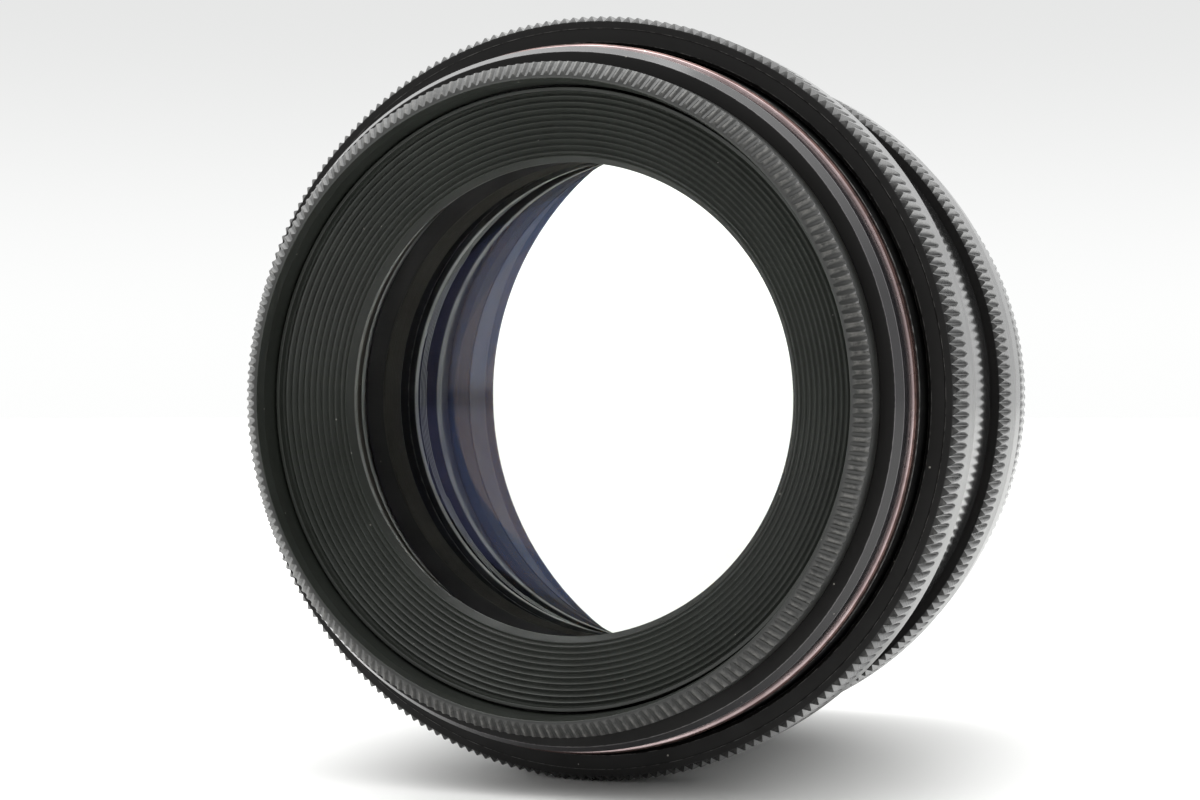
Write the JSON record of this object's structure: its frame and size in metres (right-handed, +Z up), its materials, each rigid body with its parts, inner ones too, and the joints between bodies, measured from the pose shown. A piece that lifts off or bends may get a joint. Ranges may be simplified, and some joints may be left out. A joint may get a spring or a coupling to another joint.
{
  "type": "enlarger lens",
  "caption": "Barrel lens for a darkroom enlarger: knurled aperture ring over a leaf iris, cemented glass cells front and rear, rear flange for a lens board.",
  "frame": {"origin": "centre of the lens's bounding box, on the optical axis", "axes": "+Y runs along the optical axis towards the rear, -Y is the front, +Z is up as the lens lies on its side"},
  "size_m": [0.078, 0.0706, 0.078],
  "materials": {
    "bezel_metal": "V-cut chamfer, satin grey anodising worn light on the teeth",
    "baffle_black": "turned ridges, semi-matt black",
    "satin_metal": "fine-turned satin grey anodising",
    "copper_trim": "polished, faded copper-pink",
    "grip_metal": "straight-knurled grip and smooth glossy sleeve, grey-black anodising",
    "barrel_black": "satin black",
    "cell_black": "semi-matt black",
    "retainer_metal": "turned grey-black anodising",
    "plate_metal": "blackened, finely turned",
    "blade_steel": "blackened spring steel",
    "spring_brass": "rolled sheet",
    "plain_steel": "plain turned",
    "coated_glass": "polished, violet-blue single coating"
  },
  "bodies": {
    "barrel": {"click_ball": "plain_steel", "click_spring": "spring_brass", "copper_trim_ring": "copper_trim", "front_bezel": "bezel_metal", "front_cell_housing": "satin_metal", "front_crown_element": "coated_glass", "front_flint_element": "coated_glass", "front_meniscus_element": "coated_glass", "front_meniscus_retainer": "retainer_metal", "iris_base_plate": "plate_metal", "main_barrel": "barrel_black", "mount_grip_ring": "grip_metal", "rear_cell_housing": "cell_black", "rear_crown_element": "coated_glass", "rear_flange_ring": "grip_metal", "rear_flint_element": "coated_glass", "rear_meniscus_element": "coated_glass", "rear_meniscus_retainer": "retainer_metal", "rear_retaining_ring": "retainer_metal", "ribbed_baffle": "baffle_black", "spring_screw": "plain_steel"},
    "aperture_control": {"aperture_ring": "grip_metal", "iris_cam_ring": "plate_metal", "iris_drive_screw_1": "plain_steel", "iris_drive_screw_2": "plain_steel"},
    "blade_01": {"iris_blade_01": "blade_steel"},
    "blade_02": {"iris_blade_02": "blade_steel"},
    "blade_03": {"iris_blade_03": "blade_steel"},
    "blade_04": {"iris_blade_04": "blade_steel"},
    "blade_05": {"iris_blade_05": "blade_steel"},
    "blade_06": {"iris_blade_06": "blade_steel"},
    "blade_07": {"iris_blade_07": "blade_steel"},
    "blade_08": {"iris_blade_08": "blade_steel"},
    "blade_09": {"iris_blade_09": "blade_steel"},
    "blade_10": {"iris_blade_10": "blade_steel"},
    "blade_11": {"iris_blade_11": "blade_steel"},
    "blade_12": {"iris_blade_12": "blade_steel"}
  },
  "joints": [
    {"name": "aperture_turn", "type": "hinge", "parent": "barrel", "child": "aperture_control", "pos_m": [0, -0.0127, 0], "axis": [0, -1, 0], "range_deg": [0, 44.9]},
    {"name": "blade_01_swing", "type": "hinge", "parent": "barrel", "child": "blade_01", "pos_m": [0.0314, 0.00355, 0], "axis": [0, -1, 0], "range_deg": [0, 35.95]},
    {"name": "blade_02_swing", "type": "hinge", "parent": "barrel", "child": "blade_02", "pos_m": [0.02719, 0.00355, 0.0157], "axis": [0, -1, 0], "range_deg": [0, 35.95]},
    {"name": "blade_03_swing", "type": "hinge", "parent": "barrel", "child": "blade_03", "pos_m": [0.0157, 0.00355, 0.02719], "axis": [0, -1, 0], "range_deg": [0, 35.95]},
    {"name": "blade_04_swing", "type": "hinge", "parent": "barrel", "child": "blade_04", "pos_m": [0, 0.00355, 0.0314], "axis": [0, -1, 0], "range_deg": [0, 35.95]},
    {"name": "blade_05_swing", "type": "hinge", "parent": "barrel", "child": "blade_05", "pos_m": [-0.0157, 0.00355, 0.02719], "axis": [0, -1, 0], "range_deg": [0, 35.95]},
    {"name": "blade_06_swing", "type": "hinge", "parent": "barrel", "child": "blade_06", "pos_m": [-0.02719, 0.00355, 0.0157], "axis": [0, -1, 0], "range_deg": [0, 35.95]},
    {"name": "blade_07_swing", "type": "hinge", "parent": "barrel", "child": "blade_07", "pos_m": [-0.0314, 0.00355, 0], "axis": [0, -1, 0], "range_deg": [0, 35.95]},
    {"name": "blade_08_swing", "type": "hinge", "parent": "barrel", "child": "blade_08", "pos_m": [-0.02719, 0.00355, -0.0157], "axis": [0, -1, 0], "range_deg": [0, 35.95]},
    {"name": "blade_09_swing", "type": "hinge", "parent": "barrel", "child": "blade_09", "pos_m": [-0.0157, 0.00355, -0.02719], "axis": [0, -1, 0], "range_deg": [0, 35.95]},
    {"name": "blade_10_swing", "type": "hinge", "parent": "barrel", "child": "blade_10", "pos_m": [0, 0.00355, -0.0314], "axis": [0, -1, 0], "range_deg": [0, 35.95]},
    {"name": "blade_11_swing", "type": "hinge", "parent": "barrel", "child": "blade_11", "pos_m": [0.0157, 0.00355, -0.02719], "axis": [0, -1, 0], "range_deg": [0, 35.95]},
    {"name": "blade_12_swing", "type": "hinge", "parent": "barrel", "child": "blade_12", "pos_m": [0.02719, 0.00355, -0.0157], "axis": [0, -1, 0], "range_deg": [0, 35.95]}
  ],
  "couplings": [
    {"joint": "blade_01_swing", "follows": "aperture_turn", "ratio": 0.8},
    {"joint": "blade_02_swing", "follows": "aperture_turn", "ratio": 0.8},
    {"joint": "blade_03_swing", "follows": "aperture_turn", "ratio": 0.8},
    {"joint": "blade_04_swing", "follows": "aperture_turn", "ratio": 0.8},
    {"joint": "blade_05_swing", "follows": "aperture_turn", "ratio": 0.8},
    {"joint": "blade_06_swing", "follows": "aperture_turn", "ratio": 0.8},
    {"joint": "blade_07_swing", "follows": "aperture_turn", "ratio": 0.8},
    {"joint": "blade_08_swing", "follows": "aperture_turn", "ratio": 0.8},
    {"joint": "blade_09_swing", "follows": "aperture_turn", "ratio": 0.8},
    {"joint": "blade_10_swing", "follows": "aperture_turn", "ratio": 0.8},
    {"joint": "blade_11_swing", "follows": "aperture_turn", "ratio": 0.8},
    {"joint": "blade_12_swing", "follows": "aperture_turn", "ratio": 0.8}
  ]
}
